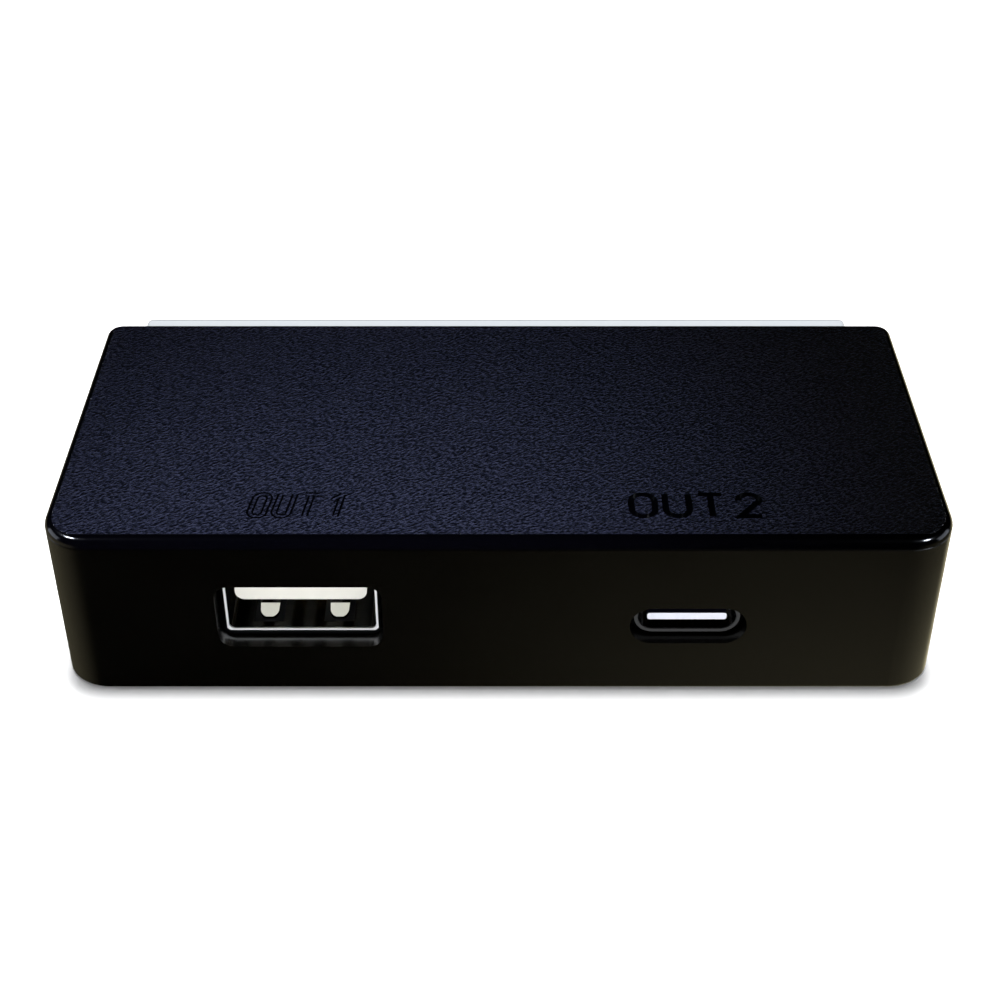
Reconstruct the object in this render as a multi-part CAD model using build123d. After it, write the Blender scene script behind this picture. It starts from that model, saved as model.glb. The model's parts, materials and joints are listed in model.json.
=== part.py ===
from build123d import *

import os

# USB power meter with a USB-A and a USB-C output on its front face.
# Millimetres. +X right, +Y from the port face to the display face, +Z up.
# Origin: centre of the flat underside of the case.

# --- Case ---
CASE_WIDTH = 75.0
CASE_DEPTH = 34.0
CASE_HEIGHT = 16.0
FRONT_CORNER_RADIUS = 4.0
REAR_CORNER_RADIUS = 1.4
WALL = 1.6
FLOOR = 1.6
COVER_RIM = 0.8  # height of cover that shows above the parting line
COVER_PLATE = 1.6
COVER_EDGE_RADIUS = 0.75
BASE_EDGE_RADIUS = 0.3
PARTING_CHAMFER = 0.12  # groove that shows between the cover and the housing
SLIDE_IN_GAP = 0.15  # clearance between the cover's ribs and the housing's walls

FRONT = -CASE_DEPTH / 2
REAR = CASE_DEPTH / 2
LEFT_END = -CASE_WIDTH / 2
PARTING_HEIGHT = CASE_HEIGHT - COVER_RIM
COVER_UNDERSIDE = CASE_HEIGHT - COVER_PLATE
INNER_FRONT = FRONT + WALL
INNER_REAR = REAR - WALL
INNER_END = CASE_WIDTH / 2 - WALL

# --- Main board ---
BOARD_THICKNESS = 1.6
BOARD_TOP = 5.1
BOARD_BOTTOM = BOARD_TOP - BOARD_THICKNESS
BOARD_GAP = 0.4
BOARD_NOTCH_HALF_WIDTH = 29.2
BOARD_NOTCH_FRONT = 9.6
RIB_X = 5.0
RIB_WIDTH = 1.2
RIB_LENGTH = 13.0
PIN_LENGTH_BELOW = 1.1  # how far soldered legs reach below the board

# --- Case screws ---
SCREW_X = 32.2
SCREW_Y = 11.9
POST_DIAMETER = 6.0
BOSS_DIAMETER = 5.0
SCREW_DIAMETER = 2.2
SCREW_CLEARANCE_DIAMETER = 2.7
SCREW_PILOT_DIAMETER = 2.0
SCREW_HEAD_DIAMETER = 4.0
SCREW_HEAD_HEIGHT = 1.2
COUNTERBORE_DIAMETER = 4.4
COUNTERBORE_DEPTH = 1.5
SCREW_TIP_HEIGHT = 12.6
RECESS_WIDTH = 0.5
RECESS_LENGTH = 2.4
RECESS_DEPTH = 0.7

# --- USB-A output ---
PORT_A_X = -16.65
PORT_A_OPENING = (13.9, 6.5)
PORT_A_OPENING_Z = 8.0
PORT_A_OPENING_RADIUS = 1.3
SHELL_A_SIZE = (13.1, 5.72)
SHELL_A_LENGTH = 14.0
SHELL_A_RECESS = 1.6
SHELL_A_RADIUS = 0.8
SHEET_METAL = 0.3
TONGUE_A_SIZE = (11.1, 1.84)
TONGUE_A_GAP_ABOVE = 0.5
TONGUE_A_RECESS = 0.55
TONGUE_A_LENGTH = 8.9
BLOCK_A_LENGTH = 3.7
TONGUE_EDGE_RADIUS = 0.8
CONTACT_A_OFFSETS = (-3.5, -1.0, 1.0, 3.5)
CONTACT_A_WIDTH = 1.0
CONTACT_A_THICKNESS = 0.2
SPRING_OFFSET = 3.0
SPRING_WINDOW_WIDTH = 2.6
SPRING_WINDOW_START = 0.9
SPRING_WINDOW_END = 6.2
SPRING_TIP_START = 1.5
SPRING_CREST = 3.4
SPRING_HEIGHT_BELOW = 0.75  # crest of the springs in the shell's floor
SPRING_HEIGHT_ABOVE = 0.35  # drop of the springs in the shell's ceiling
SPRING_ROOT_WIDTH = 2.2
SPRING_TIP_WIDTH = 1.6

# --- USB-C output and input ---
PORT_C_X = 15.87
PORT_C_OPENING = (9.8, 3.8)
SHELL_C_SIZE = (8.94, 3.26)
SHELL_C_LENGTH = 7.35
SHELL_C_LIFT = 0.3  # height of the shell above the board
OUTPUT_C_RECESS = 1.2
INPUT_C_RECESS = 1.6
TONGUE_C_SIZE = (6.69, 0.7)
TONGUE_C_RECESS = 0.1
TONGUE_C_LENGTH = 5.2
BLOCK_C_LENGTH = 1.9
CONTACTS_C_PER_ROW = 12
CONTACT_C_PITCH = 0.5
CONTACT_C_WIDTH = 0.25
CONTACT_C_THICKNESS = 0.1

# --- Display window and display, on the rear face ---
DISPLAY_Z = 9.0
WINDOW_WIDTH = 68.0
WINDOW_HEIGHT = 12.4
WINDOW_THICKNESS = 1.95
WINDOW_X = -0.3
WINDOW_RADIUS = 0.6
TAPE_THICKNESS = 0.15
TAPE_MARGIN = 0.5
LCD_X = 3.5
LCD_SIZE = (42.0, 9.2)
VIEW_SIZE = (40.0, 8.2)
LCD_FRAME_SIZE = (44.4, 10.4)
POLARISER_THICKNESS = 0.2
GLASS_THICKNESS = 1.4
BACKLIGHT_THICKNESS = 1.8
DISPLAY_BOARD_SIZE = (57.2, 11.4)
DISPLAY_BOARD_THICKNESS = 1.0
DISPLAY_BOARD_FRONT = 10.5
DISPLAY_BOARD_REAR = DISPLAY_BOARD_FRONT + DISPLAY_BOARD_THICKNESS
HEADER_PINS = 8
HEADER_PITCH = 2.0
HEADER_PIN_WIDTH = 0.5
HEADER_PIN_Z = 6.2
HEADER_PIN_Y = 7.6

# --- Mode button and its switch, on the rear face ---
BUTTON_X = -25.5
BUTTON_RADIUS = 2.2
BUTTON_HOLE_RADIUS = 2.3
BUTTON_FLANGE_RADIUS = 2.9
BUTTON_FLANGE_THICKNESS = 0.7
BUTTON_PROUD = 0.45
BUTTON_EDGE_RADIUS = 0.35
SWITCH_WIDTH = 4.5
SWITCH_BASE_DEPTH = 1.5
SWITCH_COVER_THICKNESS = 0.3
SWITCH_CAVITY_RADIUS = 1.75
PLUNGER_RADIUS = 1.0
PLUNGER_COLLAR_RADIUS = 1.5
PLUNGER_COLLAR_THICKNESS = 0.3
PLUNGER_CLEARANCE = 0.08
DOME_RADIUS = 1.6
DOME_HEIGHT = 0.4
DOME_THICKNESS = 0.1

# --- Engraved port labels ---
ENGRAVING_DEPTH = 0.25
LETTER_HEIGHT = 3.0
LETTER_SLANT = 0.14
LABEL_LEFT_X = -20.65
LABEL_RIGHT_X = 11.0
LABEL_BASELINE = FRONT + 3.45
SLANTED_LETTER_WIDTH = 1.2
SLANTED_LETTER_GAP = 0.82
UPRIGHT_LETTER_WIDTH = 1.95
UPRIGHT_LETTER_GAP = 0.88
OUTLINE_OUTER_WIDTH = 0.60
OUTLINE_INNER_WIDTH = 0.24
STROKE_WIDTH = 0.55

os.makedirs("parts", exist_ok=True)


def save(node, shape):
    """Write one sub-part to its own STEP file."""
    export_step(shape, f"parts/{node}.step")


def box_between(low, high):
    """Box from its lowest corner to its highest corner."""
    size = [high[i] - low[i] for i in range(3)]
    middle = [(high[i] + low[i]) / 2 for i in range(3)]
    return Pos(*middle) * Box(*size)


def upright(radius, x, y, z_low, z_high):
    """Vertical cylinder."""
    return Pos(x, y, (z_low + z_high) / 2) * Cylinder(radius, z_high - z_low)


def along_y(sketch, x, z, y_low, y_high):
    """A sketch drawn in X and Z, extruded along +Y between two planes."""
    plane = Plane(origin=(x, y_low, z), x_dir=(1, 0, 0), z_dir=(0, -1, 0))
    return extrude(plane * sketch, amount=-(y_high - y_low))


def group(shapes):
    """Separate solids that share one node."""
    return Compound([solid for shape in shapes for solid in shape.solids()])


def screw_places():
    """The four screw positions, as (x, y)."""
    return [(sx * SCREW_X, sy * SCREW_Y) for sx in (-1, 1) for sy in (-1, 1)]


# Where each connector's own frame sits: two mouths face the front, one the left end.
OUTPUT_A_PLACE = Location((PORT_A_X, FRONT + SHELL_A_RECESS, BOARD_TOP))
OUTPUT_C_PLACE = Location((PORT_C_X, FRONT + OUTPUT_C_RECESS, BOARD_TOP + SHELL_C_LIFT))
INPUT_C_PLACE = Location((LEFT_END + INPUT_C_RECESS, 0, BOARD_TOP + SHELL_C_LIFT), (0, 0, -90))


# --- Case ---


def case_outline(inset):
    """Plan outline of the case, with larger corners at the front."""
    outline = Rectangle(CASE_WIDTH - 2 * inset, CASE_DEPTH - 2 * inset)
    front_corners = outline.vertices().group_by(Axis.Y)[0]
    outline = fillet(front_corners, FRONT_CORNER_RADIUS - inset)
    rear_corners = outline.vertices().group_by(Axis.Y)[-1]
    return fillet(rear_corners, max(REAR_CORNER_RADIUS - inset, 0.4))


def port_cutters():
    """Openings through the front wall and the left end for the connectors."""
    reach = WALL * 1.5
    a_sketch = RectangleRounded(*PORT_A_OPENING, PORT_A_OPENING_RADIUS)
    c_sketch = SlotOverall(*PORT_C_OPENING)
    c_height = BOARD_TOP + SHELL_C_LIFT + SHELL_C_SIZE[1] / 2
    output_a = along_y(a_sketch, PORT_A_X, PORT_A_OPENING_Z, FRONT - reach, INNER_FRONT + reach)
    output_c = along_y(c_sketch, PORT_C_X, c_height, FRONT - reach, INNER_FRONT + reach)
    left_end = Location((LEFT_END, 0, c_height), (0, 0, -90))
    input_c = left_end * along_y(c_sketch, 0, 0, -reach, WALL + reach)
    return output_a + output_c + input_c


def rear_cutters():
    """Openings through the rear wall for the display and the button."""
    view = Rectangle(VIEW_SIZE[0] + 0.3, VIEW_SIZE[1] + 0.3)
    display = along_y(view, LCD_X, DISPLAY_Z, INNER_REAR - 1, REAR + 1)
    button = along_y(Circle(BUTTON_HOLE_RADIUS), BUTTON_X, DISPLAY_Z, INNER_REAR - 1, REAR + 1)
    return display + button


def board_ribs():
    """Two ribs that carry the middle of the board."""
    half = RIB_WIDTH / 2
    ribs = []
    for x in (-RIB_X, RIB_X):
        low = (x - half, -RIB_LENGTH / 2, FLOOR)
        ribs.append(box_between(low, (x + half, RIB_LENGTH / 2, BOARD_BOTTOM)))
    return ribs[0] + ribs[1]


def make_housing():
    """Open-topped tub with port openings, board posts and screw holes."""
    tub = extrude(case_outline(0), amount=PARTING_HEIGHT)
    tub = fillet(tub.edges().group_by(Axis.Z)[0], BASE_EDGE_RADIUS)
    tub = chamfer(tub.edges().group_by(Axis.Z)[-1], PARTING_CHAMFER)
    tub -= Pos(0, 0, FLOOR) * extrude(case_outline(WALL), amount=CASE_HEIGHT)
    for x, y in screw_places():
        tub += upright(POST_DIAMETER / 2, x, y, FLOOR / 2, BOARD_BOTTOM)
    tub += board_ribs()
    for x, y in screw_places():
        tub -= upright(SCREW_CLEARANCE_DIAMETER / 2, x, y, -1, BOARD_BOTTOM + 1)
        tub -= upright(COUNTERBORE_DIAMETER / 2, x, y, -1, COUNTERBORE_DEPTH)
    return tub - port_cutters() - rear_cutters()


def make_cover():
    """Lid with a rounded edge, screw bosses, locating ribs and engraved labels."""
    rim = Pos(0, 0, PARTING_HEIGHT) * extrude(case_outline(0), amount=COVER_RIM)
    rim = fillet(rim.edges().group_by(Axis.Z)[-1], COVER_EDGE_RADIUS)
    plug_height = COVER_PLATE - COVER_RIM / 2
    plug = Pos(0, 0, COVER_UNDERSIDE) * extrude(case_outline(WALL + SLIDE_IN_GAP), amount=plug_height)
    cover = rim + plug
    rib_low = COVER_UNDERSIDE - 1.2
    front_rib = INNER_FRONT + SLIDE_IN_GAP
    end_rib = INNER_END - SLIDE_IN_GAP
    for side in (-1, 1):
        cover += Pos(side * 19, 0, 0) * box_between(
            (-8, front_rib, rib_low), (8, front_rib + 1, PARTING_HEIGHT)
        )
        cover += Pos(side * (end_rib - 0.5), 0, 0) * box_between(
            (-0.5, -6, rib_low), (0.5, 6, PARTING_HEIGHT)
        )
    for x, y in screw_places():
        cover += upright(BOSS_DIAMETER / 2, x, y, BOARD_TOP, PARTING_HEIGHT)
        cover -= upright(SCREW_PILOT_DIAMETER / 2, x, y, BOARD_TOP - 1, SCREW_TIP_HEIGHT + 0.4)
    return cover - make_labels()


def make_screws():
    """Four pan-head screws with crossed recesses, driven from below."""
    head_low = COUNTERBORE_DEPTH - SCREW_HEAD_HEIGHT
    screws = []
    for x, y in screw_places():
        head = upright(SCREW_HEAD_DIAMETER / 2, x, y, head_low, COUNTERBORE_DEPTH)
        head = fillet(head.edges().group_by(Axis.Z)[0], 0.4)
        shank = upright(SCREW_DIAMETER / 2, x, y, COUNTERBORE_DEPTH - 0.1, SCREW_TIP_HEIGHT)
        shank = chamfer(shank.edges().group_by(Axis.Z)[-1], 0.7)
        screw = head + shank
        recess_middle = head_low + RECESS_DEPTH / 2
        for size in ((RECESS_LENGTH, RECESS_WIDTH), (RECESS_WIDTH, RECESS_LENGTH)):
            screw -= Pos(x, y, recess_middle) * Box(*size, RECESS_DEPTH)
        screws.append(screw)
    return group(screws)


# --- Engraved labels ---


class Pen:
    """Draws letter strokes in cover coordinates, upright or slanted."""

    def __init__(self, x, slant):
        self.x = x
        self.slant = slant

    def at(self, across, up):
        """A point given from the label's own lower left corner."""
        return (self.x + across + self.slant * up, LABEL_BASELINE + up)

    def line(self, *points):
        """Straight strokes through several points."""
        return Polyline(*[self.at(*point) for point in points]).edges()

    def arc(self, start, middle, end):
        """A curved stroke through three points."""
        return [ThreePointArc(self.at(*start), self.at(*middle), self.at(*end))]


def letter_o(pen, left, width):
    """A letter O: two straight sides and two round ends."""
    right = left + width
    middle = left + width / 2
    bend = width / 2
    top = LETTER_HEIGHT
    upper = pen.arc((left, top - bend), (middle, top), (right, top - bend))
    lower = pen.arc((right, bend), (middle, 0), (left, bend))
    sides = pen.line((right, top - bend), (right, bend)) + pen.line((left, bend), (left, top - bend))
    return [upper + sides + lower]


def letter_u(pen, left, width):
    """A letter U."""
    right = left + width
    bend = width / 2
    top = LETTER_HEIGHT
    down = pen.line((left, top), (left, bend))
    turn = pen.arc((left, bend), (left + bend, 0), (right, bend))
    back = pen.line((right, bend), (right, top))
    return [down + turn + back]


def letter_t(pen, left, width):
    """A letter T, as a bar and a stem."""
    middle = left + width / 2
    top = LETTER_HEIGHT
    return [pen.line((left, top), (left + width, top)), pen.line((middle, top), (middle, 0))]


def digit_one(pen, left, width):
    """A digit 1, as a flag and a stem."""
    top = LETTER_HEIGHT
    right = left + width
    return [pen.line((left, top - 1.2 * width), (right, top)), pen.line((right, top), (right, 0))]


def digit_two(pen, left, width):
    """A digit 2: a round head, a slanting neck and a flat foot."""
    right = left + width
    bend = width / 2
    top = LETTER_HEIGHT
    head = pen.arc((left, top - bend), (left + bend, top), (right, top - bend))
    foot = pen.line((right, top - bend), (left, 0), (right, 0))
    return [head + foot]


def label_strokes(pen, letter_width, gap, digit):
    """The strokes of the word OUT and one digit."""
    step = letter_width + gap
    strokes = letter_o(pen, 0, letter_width)
    strokes += letter_u(pen, step, letter_width)
    strokes += letter_t(pen, 2 * step, letter_width)
    digit_width = letter_width * (0.6 if digit is digit_one else 0.9)
    strokes += digit(pen, 3 * step + gap / 2, digit_width)
    return strokes


def thick_strokes(strokes, width):
    """A flat sketch of strokes drawn with a pen of this width."""
    sketch = Sketch()
    for stroke in strokes:
        sketch += trace(stroke, width)
    return sketch


def make_labels():
    """Cutter for both labels: outlined slanted letters and plain upright ones."""
    slanted_pen = Pen(LABEL_LEFT_X, LETTER_SLANT)
    slanted = label_strokes(slanted_pen, SLANTED_LETTER_WIDTH, SLANTED_LETTER_GAP, digit_one)
    outline = thick_strokes(slanted, OUTLINE_OUTER_WIDTH) - thick_strokes(slanted, OUTLINE_INNER_WIDTH)
    upright_pen = Pen(LABEL_RIGHT_X, 0)
    upright_strokes = label_strokes(upright_pen, UPRIGHT_LETTER_WIDTH, UPRIGHT_LETTER_GAP, digit_two)
    both = outline + thick_strokes(upright_strokes, STROKE_WIDTH)
    return extrude(Pos(0, 0, CASE_HEIGHT - ENGRAVING_DEPTH) * both, amount=1)


# --- USB-A connector, in its own frame: mouth at y = 0, facing -Y, board at z = 0 ---


def spring_profile(sheet_z, rise):
    """Side view of one spring finger: root, crest and turned-back tip."""
    path = Polyline(
        (SPRING_WINDOW_END + 0.3, sheet_z),
        (SPRING_WINDOW_END - 0.3, sheet_z),
        (SPRING_CREST, sheet_z + rise),
        (SPRING_TIP_START, sheet_z + rise * 0.1),
    )
    return trace(path, SHEET_METAL)


def spring_finger(x, sheet_z, rise):
    """One spring finger, tapered towards its rounded tip."""
    side = Plane(origin=(x, 0, 0), x_dir=(0, 1, 0), z_dir=(1, 0, 0))
    strip = extrude(side * spring_profile(sheet_z, rise), amount=SPRING_ROOT_WIDTH, both=True)
    tip_radius = SPRING_TIP_WIDTH / 2
    tip = Pos(x, SPRING_TIP_START + tip_radius - 0.1) * Circle(tip_radius)
    root_y = SPRING_WINDOW_END + 0.3
    taper = Polygon(
        (x - tip_radius, SPRING_TIP_START + tip_radius),
        (x + tip_radius, SPRING_TIP_START + tip_radius),
        (x + SPRING_ROOT_WIDTH / 2, root_y),
        (x - SPRING_ROOT_WIDTH / 2, root_y),
        align=None,
    )
    outline = extrude(tip + taper, amount=20, both=True)
    return strip & outline


def shell_a():
    """Folded sheet-metal shell with four contact springs and four legs."""
    width, height = SHELL_A_SIZE
    inner_size = (width - 2 * SHEET_METAL, height - 2 * SHEET_METAL)
    outer = along_y(RectangleRounded(width, height, SHELL_A_RADIUS), 0, height / 2, 0, SHELL_A_LENGTH)
    inner_sketch = RectangleRounded(*inner_size, SHELL_A_RADIUS - SHEET_METAL)
    inner = along_y(inner_sketch, 0, height / 2, -1, SHELL_A_LENGTH - SHEET_METAL)
    shell = outer - inner
    shell -= box_between((-5, SHELL_A_LENGTH - 2.2, -1), (5, SHELL_A_LENGTH + 1, SHEET_METAL * 2))
    half_window = SPRING_WINDOW_WIDTH / 2
    floor_sheet = (SHEET_METAL / 2, SPRING_HEIGHT_BELOW)
    ceiling_sheet = (height - SHEET_METAL / 2, -SPRING_HEIGHT_ABOVE)
    sheets = (floor_sheet, ceiling_sheet)
    for x in (-SPRING_OFFSET, SPRING_OFFSET):
        for middle, rise in sheets:
            shell -= box_between(
                (x - half_window, SPRING_WINDOW_START, middle - SHEET_METAL),
                (x + half_window, SPRING_WINDOW_END, middle + SHEET_METAL),
            )
            shell += spring_finger(x, middle, rise)
    for side in (-1, 1):
        for y in (3.4, 9.6):
            shell += leg(side * (width - SHEET_METAL) / 2, y, SHEET_METAL, 1.4)
    return shell


def leg(x, y, thickness, width):
    """A solder leg from the connector down through the board."""
    reach = BOARD_THICKNESS + PIN_LENGTH_BELOW
    return box_between((x - thickness / 2, y - width / 2, -reach), (x + thickness / 2, y + width / 2, 1.0))


def tongue_a_levels():
    """Lowest and highest z of the USB-A tongue."""
    top = SHELL_A_SIZE[1] - SHEET_METAL - TONGUE_A_GAP_ABOVE
    return top - TONGUE_A_SIZE[1], top


def contacts_a():
    """Four contacts under the tongue, each with a tail through the board."""
    low, _ = tongue_a_levels()
    block_rear = TONGUE_A_RECESS + TONGUE_A_LENGTH + BLOCK_A_LENGTH
    tail_low = -BOARD_THICKNESS - PIN_LENGTH_BELOW
    half_strip = CONTACT_A_WIDTH / 2
    contacts = []
    for x in CONTACT_A_OFFSETS:
        strip = box_between(
            (x - half_strip, TONGUE_A_RECESS + 0.7, low - CONTACT_A_THICKNESS / 2),
            (x + half_strip, block_rear + CONTACT_A_THICKNESS, low + CONTACT_A_THICKNESS / 2),
        )
        tail = box_between(
            (x - 0.3, block_rear, tail_low),
            (x + 0.3, block_rear + CONTACT_A_THICKNESS, low),
        )
        contacts.append(strip + tail)
    return group(contacts)


def tongue_a():
    """Moulded insulator: the tongue, and the block that fills the shell's rear."""
    low, top = tongue_a_levels()
    front = TONGUE_A_RECESS
    block_front = front + TONGUE_A_LENGTH
    profile = RectangleRounded(TONGUE_A_SIZE[0], top - low, TONGUE_EDGE_RADIUS)
    tongue = along_y(profile, 0, (low + top) / 2, front, block_front + 0.5)
    inner_width = SHELL_A_SIZE[0] - 2 * SHEET_METAL - 0.1
    inner_height = SHELL_A_SIZE[1] - 2 * SHEET_METAL - 0.1
    block_profile = RectangleRounded(inner_width, inner_height, SHELL_A_RADIUS)
    block = along_y(block_profile, 0, SHELL_A_SIZE[1] / 2, block_front, block_front + BLOCK_A_LENGTH)
    insulator = tongue + block
    for contact in contacts_a().solids():
        insulator -= contact
    return insulator


# --- USB-C connector, in its own frame: mouth at y = 0, facing -Y, board at z = 0 ---


def shell_c():
    """Drawn stadium-shaped shell with four legs."""
    width, height = SHELL_C_SIZE
    outer = along_y(SlotOverall(width, height), 0, height / 2, 0, SHELL_C_LENGTH)
    inner_sketch = SlotOverall(width - 2 * SHEET_METAL, height - 2 * SHEET_METAL)
    inner = along_y(inner_sketch, 0, height / 2, -1, SHELL_C_LENGTH + 1)
    shell = outer - inner
    for side in (-1, 1):
        for y in (2.6, 6.2):
            x = side * (width - SHEET_METAL) / 2
            half = SHEET_METAL / 2
            reach = SHELL_C_LIFT + BOARD_THICKNESS + PIN_LENGTH_BELOW / 2
            shell += box_between((x - half, y - 0.5, -reach), (x + half, y + 0.5, height / 2))
    return shell


def contacts_c():
    """Two rows of contacts on the tongue, with tails down to the board."""
    middle = SHELL_C_SIZE[1] / 2
    surface = TONGUE_C_SIZE[1] / 2
    first = -(CONTACTS_C_PER_ROW - 1) / 2 * CONTACT_C_PITCH
    contacts = []
    for upward in (-1, 1):
        tail_y = SHELL_C_LENGTH + (0.45 if upward > 0 else 0.1)
        inner_z = middle + upward * surface
        outer_z = middle + upward * (surface + CONTACT_C_THICKNESS)
        for index in range(CONTACTS_C_PER_ROW):
            x = first + index * CONTACT_C_PITCH
            low_x = x - CONTACT_C_WIDTH / 2
            high_x = x + CONTACT_C_WIDTH / 2
            strip = box_between(
                (low_x, TONGUE_C_RECESS + 0.5, min(inner_z, outer_z)),
                (high_x, tail_y + CONTACT_C_THICKNESS, max(inner_z, outer_z)),
            )
            tail = box_between(
                (low_x, tail_y, -SHELL_C_LIFT),
                (high_x, tail_y + CONTACT_C_THICKNESS, max(inner_z, outer_z)),
            )
            contacts.append(strip + tail)
    return group(contacts)


def tongue_c():
    """Moulded tongue with a stepped root and a block that fills the shell's rear."""
    middle = SHELL_C_SIZE[1] / 2
    width, height = TONGUE_C_SIZE
    front = TONGUE_C_RECESS
    block_front = front + TONGUE_C_LENGTH
    block_rear = block_front + BLOCK_C_LENGTH
    tongue = along_y(RectangleRounded(width, height, height * 0.3), 0, middle, front, block_front + 0.5)
    root_profile = RectangleRounded(width + 0.6, height + 0.7, 0.3)
    root = along_y(root_profile, 0, middle, block_front - 1.2, block_front + 0.5)
    inner = (SHELL_C_SIZE[0] - 2 * SHEET_METAL - 0.1, SHELL_C_SIZE[1] - 2 * SHEET_METAL - 0.1)
    block = along_y(SlotOverall(*inner), 0, middle, block_front, block_rear)
    insulator = tongue + root + block
    half_row = (CONTACTS_C_PER_ROW - 1) / 2 * CONTACT_C_PITCH + CONTACT_C_WIDTH / 2
    for low_z in (middle - height / 2 - CONTACT_C_THICKNESS, middle + height / 2):
        insulator -= box_between(
            (-half_row, 0, low_z),
            (half_row, block_rear + 1, low_z + CONTACT_C_THICKNESS),
        )
    return insulator


# --- Boards ---


def board_outline():
    """Main board in plan, notched at the rear for the display."""
    width = 2 * (INNER_END - BOARD_GAP)
    depth = 2 * (INNER_REAR - BOARD_GAP)
    outline = RectangleRounded(width, depth, 2.6)
    rear_edge = INNER_REAR
    notch_depth = rear_edge - BOARD_NOTCH_FRONT
    notch = Pos(0, BOARD_NOTCH_FRONT + notch_depth / 2) * Rectangle(2 * BOARD_NOTCH_HALF_WIDTH, notch_depth)
    return outline - notch


def connector_slots(place, half_width, leg_rows, slot_length):
    """Slots in the board for a connector's legs."""
    reach = BOARD_THICKNESS + 1
    slots = []
    for side in (-1, 1):
        for y in leg_rows:
            slot = Pos(side * half_width, y, -reach / 2) * Box(0.8, slot_length, reach + 1)
            slots.append(place * slot)
    return slots


def make_main_board():
    """Main board with its screw holes, leg slots and pin holes."""
    board = Pos(0, 0, BOARD_BOTTOM) * extrude(board_outline(), amount=BOARD_THICKNESS)
    for x, y in screw_places():
        board -= upright(SCREW_CLEARANCE_DIAMETER / 2, x, y, 0, CASE_HEIGHT)
    a_half = (SHELL_A_SIZE[0] - SHEET_METAL) / 2
    c_half = (SHELL_C_SIZE[0] - SHEET_METAL) / 2
    cutters = connector_slots(OUTPUT_A_PLACE, a_half, (3.4, 9.6), 2.0)
    cutters += connector_slots(OUTPUT_C_PLACE, c_half, (2.6, 6.2), 1.5)
    cutters += connector_slots(INPUT_C_PLACE, c_half, (2.6, 6.2), 1.5)
    tail_y = TONGUE_A_RECESS + TONGUE_A_LENGTH + BLOCK_A_LENGTH + CONTACT_A_THICKNESS / 2
    for x in CONTACT_A_OFFSETS:
        cutters.append(OUTPUT_A_PLACE * upright(0.45, x, tail_y, -3, 1))
    for x in header_places():
        cutters.append(upright(0.45, x, HEADER_PIN_Y, 0, BOARD_TOP + 1))
    for cutter in cutters:
        board -= cutter
    return board


def header_places():
    """The x of each pin that joins the two boards."""
    first = LCD_X - (HEADER_PINS - 1) / 2 * HEADER_PITCH
    return [first + index * HEADER_PITCH for index in range(HEADER_PINS)]


def make_header_pins():
    """Right-angled pins from the main board to the display board."""
    half = HEADER_PIN_WIDTH / 2
    low = BOARD_BOTTOM - PIN_LENGTH_BELOW
    pins = []
    for x in header_places():
        upright_leg = box_between(
            (x - half, HEADER_PIN_Y - half, low),
            (x + half, HEADER_PIN_Y + half, HEADER_PIN_Z + half),
        )
        level_leg = box_between(
            (x - half, HEADER_PIN_Y - half, HEADER_PIN_Z - half),
            (x + half, DISPLAY_BOARD_REAR, HEADER_PIN_Z + half),
        )
        pins.append(upright_leg + level_leg)
    return group(pins)


def make_header():
    """Plastic block that holds the header pins."""
    half_length = HEADER_PINS * HEADER_PITCH / 2
    block = box_between(
        (LCD_X - half_length, HEADER_PIN_Y + 0.5, BOARD_TOP),
        (LCD_X + half_length, HEADER_PIN_Y + 2.3, HEADER_PIN_Z + 1.3),
    )
    for pin in make_header_pins().solids():
        block -= pin
    return block


def make_display_board():
    """Upright board behind the display, with holes for the header pins."""
    outline = Rectangle(*DISPLAY_BOARD_SIZE)
    middle = DISPLAY_Z - 1.0
    board = along_y(outline, 0, middle, DISPLAY_BOARD_FRONT, DISPLAY_BOARD_REAR)
    for pin in make_header_pins().solids():
        board -= pin
    return board


# --- Display ---


def display_layers():
    """Where each layer of the display starts and ends along Y, from the rear wall inwards."""
    window_side = INNER_REAR - 0.15
    polariser = window_side - POLARISER_THICKNESS
    glass = polariser - GLASS_THICKNESS
    backlight = glass - BACKLIGHT_THICKNESS
    return {
        "polariser": (polariser, window_side),
        "glass": (glass, polariser),
        "backlight": (backlight, glass),
        "frame": (DISPLAY_BOARD_REAR, window_side),
    }


def make_display_layer(name, margin):
    """One flat layer of the display, smaller than the glass by a margin."""
    low, high = display_layers()[name]
    sketch = Rectangle(LCD_SIZE[0] - 2 * margin, LCD_SIZE[1] - 2 * margin)
    return along_y(sketch, LCD_X, DISPLAY_Z, low, high)


def make_lcd_frame():
    """Black frame that carries the display on its board."""
    low, high = display_layers()["frame"]
    frame = along_y(RectangleRounded(*LCD_FRAME_SIZE, 0.4), LCD_X, DISPLAY_Z, low, high)
    pocket_low, _ = display_layers()["backlight"]
    pocket_outline = Rectangle(LCD_SIZE[0] + 0.1, LCD_SIZE[1] + 0.1)
    pocket = along_y(pocket_outline, LCD_X, DISPLAY_Z, pocket_low, high + 1)
    return frame - pocket


def window_outline(margin):
    """The window's outline in X and Z, smaller by a margin."""
    return RectangleRounded(WINDOW_WIDTH - 2 * margin, WINDOW_HEIGHT - 2 * margin, WINDOW_RADIUS)


def make_window():
    """Clear plate on the rear face, with a pad that fills the display opening."""
    inner_face = REAR + TAPE_THICKNESS
    outer_face = inner_face + WINDOW_THICKNESS
    plate = along_y(window_outline(0), WINDOW_X, DISPLAY_Z, inner_face, outer_face)
    plate = chamfer(plate.edges().group_by(Axis.Y)[-1], 0.15)
    pad = along_y(Rectangle(*VIEW_SIZE), LCD_X, DISPLAY_Z, INNER_REAR + 0.05, inner_face + 0.5)
    hole = along_y(Circle(BUTTON_HOLE_RADIUS), BUTTON_X, DISPLAY_Z, REAR - 1, outer_face + 1)
    return plate + pad - hole


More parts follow.
